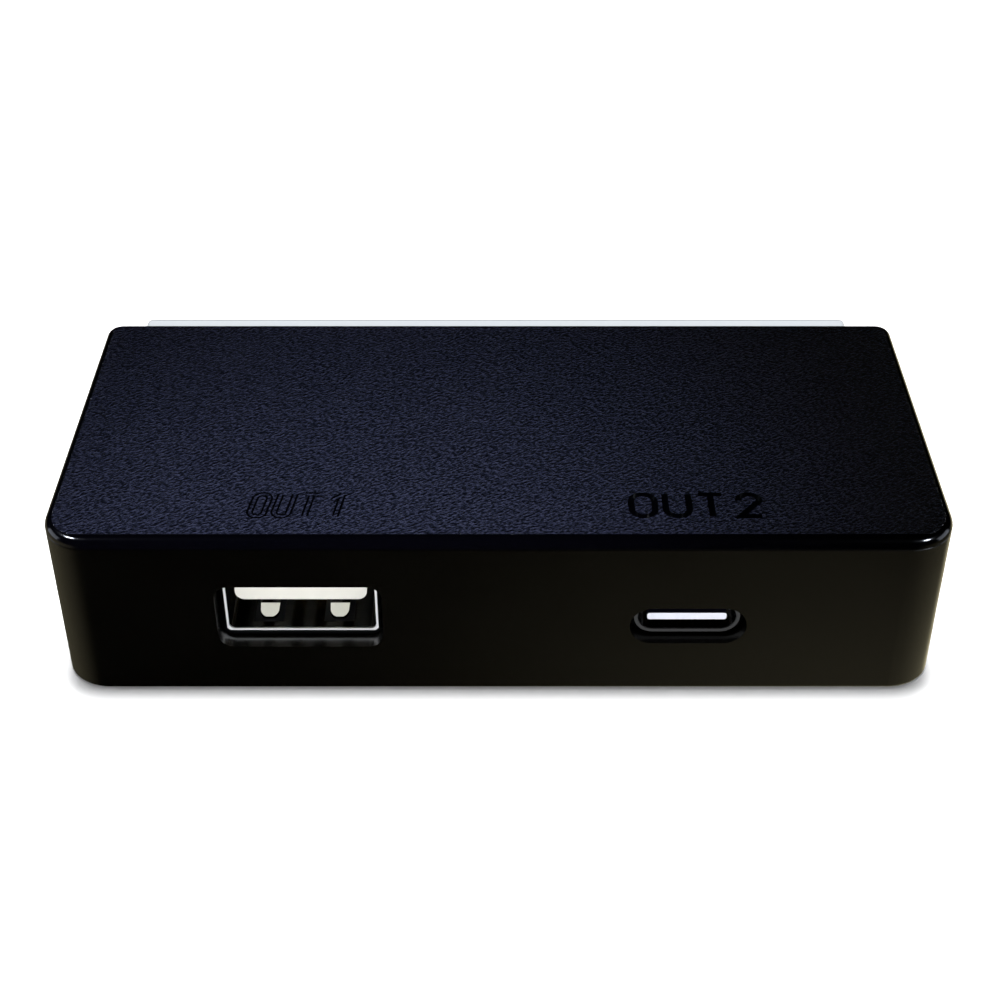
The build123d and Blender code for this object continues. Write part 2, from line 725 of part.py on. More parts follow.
def make_window_tape():
    """Die-cut double-sided tape between the window and the housing."""
    tape = along_y(window_outline(TAPE_MARGIN), WINDOW_X, DISPLAY_Z, REAR, REAR + TAPE_THICKNESS)
    view = Rectangle(VIEW_SIZE[0] + 0.8, VIEW_SIZE[1] + 0.8)
    tape -= along_y(view, LCD_X, DISPLAY_Z, REAR - 1, REAR + 1)
    tape -= along_y(Circle(BUTTON_HOLE_RADIUS + 0.4), BUTTON_X, DISPLAY_Z, REAR - 1, REAR + 1)
    return tape


# --- Mode button and its switch ---


def disc_along_y(radius, y_low, y_high):
    """A round disc on the button's axis."""
    return along_y(Circle(radius), BUTTON_X, DISPLAY_Z, y_low, y_high)


def switch_levels():
    """Heights of the switch's parts along Y, from the display board outwards."""
    base_rear = DISPLAY_BOARD_REAR + SWITCH_BASE_DEPTH
    cavity_floor = DISPLAY_BOARD_REAR + 0.5
    return cavity_floor, base_rear, base_rear + SWITCH_COVER_THICKNESS


def button_levels():
    """Inner face, flange top and outer face of the button cap along Y."""
    flange_top = INNER_REAR - 0.1
    outer_face = REAR + TAPE_THICKNESS + WINDOW_THICKNESS + BUTTON_PROUD
    return flange_top - BUTTON_FLANGE_THICKNESS, flange_top, outer_face


def make_mode_button():
    """Flanged button cap that stands just proud of the window."""
    inner_face, flange_top, outer_face = button_levels()
    flange = disc_along_y(BUTTON_FLANGE_RADIUS, inner_face, flange_top)
    stem = disc_along_y(BUTTON_RADIUS, flange_top - 0.1, outer_face)
    stem = fillet(stem.edges().group_by(Axis.Y)[-1], BUTTON_EDGE_RADIUS)
    return flange + stem


def make_switch_base():
    """Switch body with a round cavity for the snap dome."""
    cavity_floor, base_rear, _ = switch_levels()
    square = Rectangle(SWITCH_WIDTH, SWITCH_WIDTH)
    body = along_y(square, BUTTON_X, DISPLAY_Z, DISPLAY_BOARD_REAR, base_rear)
    return body - disc_along_y(SWITCH_CAVITY_RADIUS, cavity_floor, base_rear + 1)


def make_switch_cover():
    """Sheet-metal cover that keeps the plunger in."""
    _, base_rear, cover_rear = switch_levels()
    square = RectangleRounded(SWITCH_WIDTH, SWITCH_WIDTH, 0.3)
    cover = along_y(square, BUTTON_X, DISPLAY_Z, base_rear, cover_rear)
    return cover - disc_along_y(PLUNGER_RADIUS + PLUNGER_CLEARANCE, base_rear - 1, cover_rear + 1)


def make_switch_dome():
    """Snap dome: a thin spherical cap on the cavity's floor."""
    cavity_floor, _, _ = switch_levels()
    radius = (DOME_RADIUS**2 + DOME_HEIGHT**2) / (2 * DOME_HEIGHT)
    middle = Pos(BUTTON_X, cavity_floor + DOME_HEIGHT - radius, DISPLAY_Z)
    cap = middle * Sphere(radius) - middle * Sphere(radius - DOME_THICKNESS)
    return cap & disc_along_y(SWITCH_CAVITY_RADIUS, cavity_floor, cavity_floor + DOME_HEIGHT)


def make_switch_plunger():
    """Plunger with a collar under the cover, resting on the dome."""
    cavity_floor, _, _ = switch_levels()
    low = cavity_floor + DOME_HEIGHT
    cap_face, _, _ = button_levels()
    collar = disc_along_y(PLUNGER_COLLAR_RADIUS, low, low + PLUNGER_COLLAR_THICKNESS)
    return collar + disc_along_y(PLUNGER_RADIUS, low, cap_face)


# --- Parts on the main board ---


def on_board(x, y, length, width, height):
    """A plain moulded body that stands on the board."""
    return box_between(
        (x - length / 2, y - width / 2, BOARD_TOP),
        (x + length / 2, y + width / 2, BOARD_TOP + height),
    )


INDUCTOR_PLACE = (0.0, -8.0)
INDUCTOR_WIDTH = 10.0
INDUCTOR_FLANGE = 1.0
INDUCTOR_HEIGHT = 5.0
INDUCTOR_CORE_RADIUS = 2.2
INDUCTOR_COIL_RADIUS = 4.4
CAPACITOR_PLACES = ((27.0, -5.6), (27.0, 1.8))
CAPACITOR_RADIUS = 3.15
CAPACITOR_HEIGHT = 7.7
CAPACITOR_BASE_WIDTH = 6.6
CAPACITOR_BASE_HEIGHT = 1.0
CAPACITOR_SKIRT = 0.3
METER_CHIP_PLACE = (-5.0, 3.4)
METER_CHIP_WIDTH = 7.0
METER_CHIP_HEIGHT = 1.3
METER_CHIP_LIFT = 0.1
METER_LEADS_PER_SIDE = 8
METER_LEAD_PITCH = 0.8
POWER_CHIP_PLACE = (15.9, -3.2)
TRANSISTOR_PLACES = ((9.4, 3.0), (20.6, 3.0))
SHUNT_PLACES = ((-14.6, 3.4), (15.0, 7.8))
FUSE_PLACE = (-23.6, 5.6)
CRYSTAL_PLACE = (3.4, 1.2)


def make_inductor_core():
    """Drum core: two flanges and a round post."""
    x, y = INDUCTOR_PLACE
    top = BOARD_TOP + INDUCTOR_HEIGHT
    lower = on_board(x, y, INDUCTOR_WIDTH, INDUCTOR_WIDTH, INDUCTOR_FLANGE)
    lower = chamfer(lower.edges().filter_by(Axis.Z), 1.2)
    post = upright(INDUCTOR_CORE_RADIUS, x, y, BOARD_TOP, top)
    upper = upright(INDUCTOR_WIDTH / 2, x, y, top - INDUCTOR_FLANGE, top)
    return lower + post + upper


def make_inductor_winding():
    """Copper winding between the drum's flanges, as one ring."""
    x, y = INDUCTOR_PLACE
    low = BOARD_TOP + INDUCTOR_FLANGE
    high = BOARD_TOP + INDUCTOR_HEIGHT - INDUCTOR_FLANGE
    ring = upright(INDUCTOR_COIL_RADIUS, x, y, low, high)
    return ring - upright(INDUCTOR_CORE_RADIUS, x, y, low - 1, high + 1)


def make_capacitor_cans():
    """Aluminium cans with a rolled neck above the base."""
    cans = []
    low = BOARD_TOP + CAPACITOR_BASE_HEIGHT
    high = BOARD_TOP + CAPACITOR_HEIGHT
    for x, y in CAPACITOR_PLACES:
        can = upright(CAPACITOR_RADIUS, x, y, low, high)
        can = fillet(can.edges().group_by(Axis.Z)[-1], 0.4)
        can -= Pos(x, y, low + 1.0) * Torus(CAPACITOR_RADIUS + 0.1, 0.35)
        cans.append(can)
    return group(cans)


def make_capacitor_bases():
    """Black bases of the capacitors, with two cut corners."""
    bases = []
    for x, y in CAPACITOR_PLACES:
        base = on_board(x, y, CAPACITOR_BASE_WIDTH, CAPACITOR_BASE_WIDTH, CAPACITOR_BASE_HEIGHT)
        marked = base.edges().filter_by(Axis.Z).group_by(Axis.X)[-1]
        bases.append(chamfer(marked, 1.4))
    return group(bases)


def make_meter_controller():
    """Measuring controller: a square moulded chip."""
    body = on_board(*METER_CHIP_PLACE, METER_CHIP_WIDTH, METER_CHIP_WIDTH, METER_CHIP_HEIGHT)
    body = Pos(0, 0, METER_CHIP_LIFT) * body
    return chamfer(body.edges().group_by(Axis.Z)[-1], 0.2)


def make_controller_leads():
    """Gull-wing leads on all four sides of the measuring controller."""
    x, y = METER_CHIP_PLACE
    edge = METER_CHIP_WIDTH / 2
    first = -(METER_LEADS_PER_SIDE - 1) / 2 * METER_LEAD_PITCH
    leads = []
    for quarter in range(4):
        turn = Location((x, y, BOARD_TOP), (0, 0, 90 * quarter))
        for index in range(METER_LEADS_PER_SIDE):
            along = first + index * METER_LEAD_PITCH
            shoulder = box_between((along - 0.15, edge, 0.55), (along + 0.15, edge + 0.45, 0.7))
            shin = box_between((along - 0.15, edge + 0.3, 0), (along + 0.15, edge + 0.45, 0.7))
            foot = box_between((along - 0.15, edge + 0.3, 0), (along + 0.15, edge + 0.9, 0.15))
            leads.append(turn * (shoulder + shin + foot))
    return group(leads)


def make_group(places, length, width, height, edge):
    """Identical bodies that stand on the board, with softened upper edges."""
    bodies = []
    for x, y in places:
        body = on_board(x, y, length, width, height)
        bodies.append(chamfer(body.edges().group_by(Axis.Z)[-1], edge))
    return group(bodies)


def row_of_places(start_x, start_y, step_x, step_y, count):
    """Evenly spaced places on the board."""
    return [(start_x + index * step_x, start_y + index * step_y) for index in range(count)]


def ceramic_capacitor_places():
    """Places of the ceramic capacitors, beside the parts that they serve."""
    places = row_of_places(-11.4, 0.2, 0, 0, 1)
    places += row_of_places(6.8, -3.4, 0, -3.0, 4)
    places += row_of_places(23.6, -11.0, 3.0, 0, 2)
    places += row_of_places(-27.0, -7.2, 0, -2.4, 2)
    places += row_of_places(30.6, 6.8, -3.0, 0, 3)
    return places


def chip_resistor_places():
    """Places of the small resistors."""
    places = row_of_places(-20.0, 8.4, 2.4, 0, 4)
    places += row_of_places(-8.0, -3.4, 0, -2.0, 5)
    places += row_of_places(11.0, -2.0, 0, -1.9, 3)
    return places


# --- Write every sub-part ---

save("main_housing", make_housing())
save("top_cover", make_cover())
save("housing_screws", make_screws())

save("usb_a_shell", OUTPUT_A_PLACE * shell_a())
save("usb_a_tongue", OUTPUT_A_PLACE * tongue_a())
save("usb_a_contacts", OUTPUT_A_PLACE * contacts_a())
for prefix, place in (("usb_c", OUTPUT_C_PLACE), ("input", INPUT_C_PLACE)):
    save(f"{prefix}_shell", place * shell_c())
    save(f"{prefix}_tongue", place * tongue_c())
    save(f"{prefix}_contacts", place * contacts_c())

save("main_board", make_main_board())
save("display_board", make_display_board())
save("display_header", make_header())
save("header_pins", make_header_pins())

save("display_window", make_window())
save("window_tape", make_window_tape())
save("lcd_polariser", make_display_layer("polariser", 0.4))
save("lcd_glass", make_display_layer("glass", 0))
save("lcd_backlight", make_display_layer("backlight", 0.2))
save("lcd_frame", make_lcd_frame())

save("mode_button", make_mode_button())
save("switch_base", make_switch_base())
save("switch_cover", make_switch_cover())
save("switch_dome", make_switch_dome())
save("switch_plunger", make_switch_plunger())

save("inductor_core", make_inductor_core())
save("inductor_winding", make_inductor_winding())
save("capacitor_cans", make_capacitor_cans())
save("capacitor_bases", make_capacitor_bases())
save("meter_controller", make_meter_controller())
save("controller_leads", make_controller_leads())
save("power_controller", make_group([POWER_CHIP_PLACE], 5.0, 5.0, 0.9, 0.1))
save("power_transistors", make_group(TRANSISTOR_PLACES, 5.0, 6.0, 1.0, 0.1))
save("current_shunts", make_group(SHUNT_PLACES, 6.4, 3.2, 0.6, 0.1))
save("input_fuse", make_group([FUSE_PLACE], 6.1, 2.7, 1.6, 0.15))
save("crystal_can", make_group([CRYSTAL_PLACE], 3.2, 2.5, 0.8, 0.15))
save("ceramic_capacitors", make_group(ceramic_capacitor_places(), 2.0, 1.25, 1.1, 0.1))
save("chip_resistors", make_group(chip_resistor_places(), 1.6, 0.8, 0.45, 0.06))
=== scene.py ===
import json
from math import pi, radians

import bmesh
import bpy
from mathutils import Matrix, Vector


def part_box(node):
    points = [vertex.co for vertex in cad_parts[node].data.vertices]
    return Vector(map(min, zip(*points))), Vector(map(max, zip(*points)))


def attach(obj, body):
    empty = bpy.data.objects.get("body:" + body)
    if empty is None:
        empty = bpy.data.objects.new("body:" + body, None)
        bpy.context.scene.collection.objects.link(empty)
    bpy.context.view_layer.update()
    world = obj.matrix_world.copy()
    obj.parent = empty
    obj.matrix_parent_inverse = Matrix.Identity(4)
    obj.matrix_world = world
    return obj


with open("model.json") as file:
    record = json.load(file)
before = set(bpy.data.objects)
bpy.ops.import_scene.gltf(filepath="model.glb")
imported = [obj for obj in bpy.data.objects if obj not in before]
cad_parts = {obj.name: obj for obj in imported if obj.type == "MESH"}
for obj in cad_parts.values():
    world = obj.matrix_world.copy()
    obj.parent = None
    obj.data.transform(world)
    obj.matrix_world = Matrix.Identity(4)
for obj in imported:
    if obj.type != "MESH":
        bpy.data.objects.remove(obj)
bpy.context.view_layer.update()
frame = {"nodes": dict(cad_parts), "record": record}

# USB power meter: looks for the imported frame. Metres; +X right, +Y from the
# ports to the display, +Z up, with the origin under the middle of the case.

MM = 0.001
COVER_LOW, COVER_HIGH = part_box("top_cover")
WINDOW_LOW, WINDOW_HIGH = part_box("display_window")
FILM_LOW, FILM_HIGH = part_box("lcd_polariser")
SHELL_A_LOW, SHELL_A_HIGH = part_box("usb_a_shell")
SHELL_C_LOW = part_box("usb_c_shell")[0]
COVER_TOP = COVER_HIGH.z


# --- Camera ---

CAMERA_PLACE = (0.0001, -0.127, 0.103)
CAMERA_PITCH = 36.95  # degrees below the horizon
CAMERA_LENS = 62.57
CAMERA_SENSOR = 36.0
CAMERA_REACH = (0.005, 10.0)  # nearest and farthest distance seen


def add_camera():
    """Camera that looks down on the port face."""
    data = bpy.data.cameras.new("camera")
    data.lens = CAMERA_LENS
    data.sensor_width = CAMERA_SENSOR
    data.clip_start, data.clip_end = CAMERA_REACH
    camera = bpy.data.objects.new("camera", data)
    camera.location = CAMERA_PLACE
    camera.rotation_euler = (radians(90 - CAMERA_PITCH), 0, 0)
    bpy.context.scene.collection.objects.link(camera)
    bpy.context.scene.camera = camera


# --- Lights, surroundings and floor ---

WHITE = (1, 1, 1)
COOL = (0.80, 0.87, 1.0)
BLUE_WHITE = (0.94, 0.95, 1.0)
CREAM = (1.0, 0.98, 0.80)
MIDDLE = (0, 0, 0.01)
LEFT_CORNER = (COVER_LOW.x, COVER_LOW.y, COVER_TOP)
RIGHT_CORNER = (COVER_HIGH.x, COVER_LOW.y, COVER_TOP)

# Area lights: name, place, target, size, radiance, colour, and the surfaces that see the light.
BROAD_LIGHTS = (
    ("overhead", (0, 0.09, 0.9), MIDDLE, (0.22, 0.22), 126, WHITE, "matt"),
    ("front_fill", (0, -0.5, 0.25), MIDDLE, (0.5, 0.3), 2.6, WHITE, "matt"),
)
SOFTBOXES = (
    ("left_key", (-0.108, 0.008, 0.146), LEFT_CORNER, (0.024, 0.024), 105, COOL, "reflections"),
    ("right_key", (0.122, -0.058, 0.132), RIGHT_CORNER, (0.028, 0.028), 67, COOL, "reflections"),
    ("left_box", (-0.40, 0.02, 0.08), MIDDLE, (0.22, 0.20), 1.6, COOL, "both"),
    ("right_box", (0.40, 0.0, 0.08), MIDDLE, (0.22, 0.20), 1.6, COOL, "both"),
)
RIM_LIGHT = ("rim_light", (-0.03, -0.30, 0.04), MIDDLE, (0.24, 0.1), 27, BLUE_WHITE, "reflections")
SPRING_LIGHT = ("spring_light", (-0.02, -0.13, 0.10), MIDDLE, (0.04, 0.04), 27, CREAM, "matt")

GLOW_PLACE = (-0.016, -0.085, 0.10)
GLOW_TARGET = (-0.014, -0.026, COVER_TOP)
GLOW_POWER = 2.3
GLOW_CONE = 47.5  # degrees across
GLOW_SOURCE_RADIUS = 0.01

# Surroundings: axis of the direction, the range it changes over, and the value at each end.
BELOW = ("Z", -0.25, 0.08, 1, 0)
STEEPLY_BELOW = ("Z", -0.71, -0.60, 1.0, 0.0)
TO_THE_RIGHT = ("X", -0.12, 0.30, 0.005, 0.60)
FAR_LEFT = ("X", -0.9, -0.4, 0.28, 0.0)
FAR_RIGHT = ("X", 0.35, 0.80, 0.0, 0.12)
BEHIND = ("Y", 0.35, 0.75, 0, 1.25)
RIGHT_OF_BEHIND = ("X", 0.25, 0.5, 0.12, 1.0)
WARM = (1.0, 0.90, 0.58)

FLOOR_SIZE = 4.0
FLOOR_GREYS = ((0.90, 0.90, 0.90), (0.92, 0.92, 0.92))
FLOOR_GRAIN = 0.02
FLOOR_ROUGHNESS = 0.9
FLOOR_SPECULAR = 0.1


def aim(light, target):
    """Turn a light at its place toward a target."""
    direction = Vector(target) - light.location
    light.rotation_euler = direction.to_track_quat("-Z", "Y").to_euler()


def add_area_light(name, place, target, size, radiance, colour, seen_in):
    """A rectangular light of a given radiance, for matt surfaces, for reflections or for both."""
    data = bpy.data.lights.new(name, "AREA")
    data.shape = "RECTANGLE"
    data.size, data.size_y = size
    data.energy = radiance * pi * size[0] * size[1]
    data.color = colour
    light = bpy.data.objects.new(name, data)
    light.location = place
    aim(light, target)
    light.visible_glossy = seen_in != "matt"
    light.visible_diffuse = seen_in != "reflections"
    light.visible_camera = False
    bpy.context.scene.collection.objects.link(light)
    return light


def light_only(light, names, state="INCLUDE"):
    """Limit a light to a few CAD nodes, or keep it off them."""
    lit = bpy.data.collections.new(light.name)
    for name in names:
        lit.objects.link(frame["nodes"][name])
    light.light_linking.receiver_collection = lit
    for member in lit.collection_objects:
        member.light_linking.link_state = state


def add_cover_glow():
    """Soft-edged pool of light on the cover's matt texture, strongest at the left front."""
    data = bpy.data.lights.new("cover_glow", "SPOT")
    data.energy = GLOW_POWER
    data.spot_size = radians(GLOW_CONE)
    data.spot_blend = 1.0
    data.shadow_soft_size = GLOW_SOURCE_RADIUS
    glow = bpy.data.objects.new("cover_glow", data)
    glow.location = GLOW_PLACE
    aim(glow, GLOW_TARGET)
    glow.visible_glossy = False
    bpy.context.scene.collection.objects.link(glow)
    light_only(glow, ("top_cover",))


def add_lights():
    """Broad light for the matt surfaces, a glow on the cover, softboxes, and light for the ports."""
    for light in BROAD_LIGHTS:
        light_only(add_area_light(*light), ("top_cover",), "EXCLUDE")
    add_cover_glow()
    for light in SOFTBOXES:
        add_area_light(*light)
    light_only(add_area_light(*RIM_LIGHT), ("usb_a_shell", "usb_c_shell"))
    light_only(add_area_light(*SPRING_LIGHT), ("usb_a_shell",))


class Surroundings:
    """World shader whose colour depends on the direction of view."""

    def __init__(self):
        self.world = bpy.data.worlds.new("world")
        self.world.use_nodes = True
        self.nodes = self.world.node_tree.nodes
        self.links = self.world.node_tree.links
        direction = self.nodes.new("ShaderNodeTexCoord").outputs["Generated"]
        self.split = self.nodes.new("ShaderNodeSeparateXYZ")
        self.links.new(direction, self.split.inputs["Vector"])

    def ramp(self, letter, low, high, new_low, new_high):
        """A value that changes with one axis of the direction."""
        ramp = self.nodes.new("ShaderNodeMapRange")
        ramp.interpolation_type = "SMOOTHSTEP"
        self.links.new(self.split.outputs[letter], ramp.inputs["Value"])
        ramp.inputs["From Min"].default_value = low
        ramp.inputs["From Max"].default_value = high
        ramp.inputs["To Min"].default_value = new_low
        ramp.inputs["To Max"].default_value = new_high
        return ramp.outputs["Result"]

    def maths(self, operation, first, second):
        """One arithmetic step on two sockets."""
        step = self.nodes.new("ShaderNodeMath")
        step.operation = operation
        self.links.new(first, step.inputs[0])
        self.links.new(second, step.inputs[1])
        return step.outputs["Value"]

    def finish(self, brightness, colour):
        """Connect a brightness and a colour to the background."""
        background = self.nodes["Background"]
        background.inputs["Color"].default_value = (*colour, 1)
        self.links.new(brightness, background.inputs["Strength"])
        bpy.context.scene.world = self.world


def add_world():
    """Dark in front and above, and pale low at the sides, behind and steeply below at the right."""
    around = Surroundings()
    below = around.ramp(*BELOW)
    to_the_right = around.ramp(*TO_THE_RIGHT)
    steeply_below = around.ramp(*STEEPLY_BELOW)
    under_right = around.maths("MULTIPLY", to_the_right, steeply_below)
    far_left = around.ramp(*FAR_LEFT)
    far_right = around.ramp(*FAR_RIGHT)
    behind = around.ramp(*BEHIND)
    back_right = around.maths("MULTIPLY", behind, around.ramp(*RIGHT_OF_BEHIND))
    sides = around.maths("ADD", around.maths("ADD", far_left, far_right), back_right)
    brightness = around.maths("MULTIPLY", below, around.maths("ADD", under_right, sides))
    around.finish(brightness, WARM)


def add_floor():
    """Plain pale floor under the object, left out of reflections."""
    mesh = bpy.data.meshes.new("floor")
    half = FLOOR_SIZE / 2
    corners = [(-half, -half, 0), (half, -half, 0), (half, half, 0), (-half, half, 0)]
    mesh.from_pydata(corners, [], [(0, 1, 2, 3)])
    floor = bpy.data.objects.new("floor", mesh)
    bpy.context.scene.collection.objects.link(floor)
    floor.visible_glossy = False
    paint = Paint("floor_paint")
    paint.set(Roughness=FLOOR_ROUGHNESS)
    paint.set_input("Specular IOR Level", FLOOR_SPECULAR)
    paint.colour(paint.noise(FLOOR_GRAIN, 3), *FLOOR_GREYS)
    mesh.materials.append(paint.material)


# --- Material helpers ---

NOISE_USUAL = (0.3, 0.7)  # most noise values lie between these


class Paint:
    """A procedural material, with short calls for the nodes it needs."""

    def __init__(self, name):
        self.material = bpy.data.materials.new(name)
        self.material.use_nodes = True
        self.nodes = self.material.node_tree.nodes
        self.links = self.material.node_tree.links
        self.shader = self.nodes["Principled BSDF"]
        self.place = self.nodes.new("ShaderNodeTexCoord").outputs["Object"]

    def set(self, **inputs):
        """Constants on the shader's own sockets."""
        for name, value in inputs.items():
            self.set_input(name, value)

    def set_input(self, name, value):
        """One constant on the shader's own socket."""
        self.shader.inputs[name].default_value = value

    def stretched(self, scale, turn=0.0):
        """Object coordinates turned about Z, then scaled along each axis."""
        turned = self.place
        if turn:
            rotation = self.nodes.new("ShaderNodeMapping")
            rotation.inputs["Rotation"].default_value = (0, 0, radians(turn))
            self.links.new(self.place, rotation.inputs["Vector"])
            turned = rotation.outputs["Vector"]
        mapping = self.nodes.new("ShaderNodeMapping")
        mapping.inputs["Scale"].default_value = scale
        self.links.new(turned, mapping.inputs["Vector"])
        return mapping.outputs["Vector"]

    def noise(self, grain, detail=2.0, stretch=None, turn=0.0, roughness=0.5):
        """Noise whose features are about one grain across."""
        noise = self.nodes.new("ShaderNodeTexNoise")
        noise.inputs["Scale"].default_value = 1 / grain
        noise.inputs["Detail"].default_value = detail
        noise.inputs["Roughness"].default_value = roughness
        source = self.stretched(stretch, turn) if stretch else self.place
        self.links.new(source, noise.inputs["Vector"])
        return noise.outputs["Fac"]

    def spread(self, value, low, high, new_low=0.0, new_high=1.0):
        """A value moved from one range to another, held at the new range's ends."""
        spread = self.nodes.new("ShaderNodeMapRange")
        self.links.new(value, spread.inputs["Value"])
        spread.inputs["From Min"].default_value = low
        spread.inputs["From Max"].default_value = high
        spread.inputs["To Min"].default_value = new_low
        spread.inputs["To Max"].default_value = new_high
        return spread.outputs["Result"]

    def maths(self, operation, first, second):
        """One arithmetic step; either side may be a number."""
        step = self.nodes.new("ShaderNodeMath")
        step.operation = operation
        for socket, value in zip(step.inputs, (first, second)):
            if isinstance(value, (int, float)):
                socket.default_value = value
            else:
                self.links.new(value, socket)
        return step.outputs["Value"]

    def mixed(self, factor, first, second):
        """A colour between two colours; each may be a colour or a socket."""
        mix = self.nodes.new("ShaderNodeMix")
        mix.data_type = "RGBA"
        self.links.new(factor, mix.inputs["Factor"])
        for name, value in (("A", first), ("B", second)):
            socket = [s for s in mix.inputs if s.name == name and s.type == "RGBA"][0]
            if isinstance(value, tuple):
                socket.default_value = (*value, 1)
            else:
                self.links.new(value, socket)
        return [s for s in mix.outputs if s.type == "RGBA"][0]

    def colour(self, factor, first, second):
        """Base colour that varies between two colours."""
        self.links.new(self.mixed(factor, first, second), self.shader.inputs["Base Color"])

    def drive(self, name, value):
        """A shader input driven by a socket."""
        self.links.new(value, self.shader.inputs[name])

    def vary(self, name, value, low, high):
        """A shader input that varies with noise."""
        self.drive(name, self.spread(value, *NOISE_USUAL, low, high))

    def bump(self, height, depth):
        """Surface relief of a given depth in metres."""
        bump = self.nodes.new("ShaderNodeBump")
        bump.inputs["Distance"].default_value = depth
        self.links.new(height, bump.inputs["Height"])
        self.links.new(bump.outputs["Normal"], self.shader.inputs["Normal"])

    def facing(self, letter):
        """How far a surface faces along one axis, from -1 to 1."""
        geometry = self.nodes.new("ShaderNodeNewGeometry")
        split = self.nodes.new("ShaderNodeSeparateXYZ")
        self.links.new(geometry.outputs["Normal"], split.inputs["Vector"])
        return split.outputs[letter]

    def axis(self, letter):
        """One object coordinate, in metres."""
        split = self.nodes.new("ShaderNodeSeparateXYZ")
        self.links.new(self.place, split.inputs["Vector"])
        return split.outputs[letter]


# --- Materials ---

# Colours of the hand-made paints: a dark and a light one for each.
COVER_POLISHED = ((0.0002, 0.0002, 0.0005), (0.0003, 0.0003, 0.0007))
# textured cover: painted shade in the pits, painted glints on the peaks
COVER_TEXTURED_SHADE_AND_GLINT = ((0.0019, 0.0023, 0.0056), (0.0142, 0.0162, 0.0315))
CASE_BROWN = ((0.0008, 0.0006, 0.0003), (0.0014, 0.0011, 0.0006))
# dark metal: painted shade inside the connector shells
SHELL_PAINTED_SHADE = ((0.055, 0.056, 0.055), (0.080, 0.080, 0.078))
# pale metal: painted highlight on the USB-A mouth's cut edge and the springs
SHELL_PAINTED_HIGHLIGHT = ((0.78, 0.79, 0.78), (0.86, 0.87, 0.85))
# dark navy: painted shade on the tongue's faces away from the mouth
TONGUE_PAINTED_SHADE = ((0.003, 0.003, 0.012), (0.005, 0.005, 0.018))
TONGUE_PALE = ((0.74, 0.76, 0.86), (0.80, 0.82, 0.90))
WINDOW_FROSTED = ((0.30, 0.318, 0.337), (0.34, 0.358, 0.377))
WINDOW_OUTLINE = (0.12, 0.125, 0.13)
WINDOW_CLEAR = (0.94, 0.97, 0.99)
BOARD_MASK = ((0.006, 0.007, 0.008), (0.011, 0.012, 0.013))

# Cover texture.
POLISHED_FRONT_BAND = 1.08 * MM  # smooth strip along the cover's front edge
WORM_SIZE = 0.40 * MM
WORM_STRETCH = (1, 1.9, 1)
WORM_TURN = -38  # degrees about Z
SPECK_SIZE = 0.26 * MM
SPECK_SHARE = 1.2  # height of the specks against the worms
TEXTURE_DEPTH = 0.30 * MM
PIT_SHADE_TO_GLINT_HEIGHTS = (0.85, 1.45)  # from painted shade in the darkest pits to painted glints on the palest peaks
COVER_LEVEL = (0.985, 0.9995)  # how far the level top faces up
COVER_SPECULAR = (0.5, 0.08)  # polished, textured
COVER_ROUGHNESS = (0.13, 0.26)  # polished, textured

# Connector shells.
SHEET_METAL = 0.3 * MM
PIN_REACH = 2.7 * MM  # the connector's legs reach this far below its shell
SHEET_TOP = SHELL_A_LOW.z + PIN_REACH + SHEET_METAL
SHELL_A_MIDDLE = (SHELL_A_LOW.x + SHELL_A_HIGH.x) / 2
SHELL_A_HALF_WIDTH = (SHELL_A_HIGH.x - SHELL_A_LOW.x) / 2
LOWER_HALF_HEIGHT = 1.0 * MM  # the bottom springs stand less than this above the sheet
SPRING_REACH_ASIDE = 4.6 * MM  # from the shell's middle, past both springs but short of the walls
SPRING_LIT_DEPTH = 2.7 * MM  # length of the springs that get the painted highlight, from the mouth
RIM_DEPTH = 0.12 * MM  # cut edge of the sheet, from the mouth
RIM_SIDE_INSET = 0.13 * MM  # the painted highlight line starts this far inside the shell's sides
RIM_BOTTOM_INSET = 0.21 * MM  # and reaches this far under the top of the bottom sheet
SHELL_METALLIC = (1.0, 0.2)  # sheet, springs
SHELL_ROUGHNESS = (0.14, 0.5)  # inside, cut edges and springs

# Window: width of the darker outline at its ends and along its outer face.
WINDOW_SIDE_OUTLINE = 0.20 * MM
WINDOW_OUTER_OUTLINE = 0.34 * MM
WINDOW_INDEX = 1.49
WINDOW_ROUGHNESS = (0.45, 0.03)  # frosted edge, polished faces


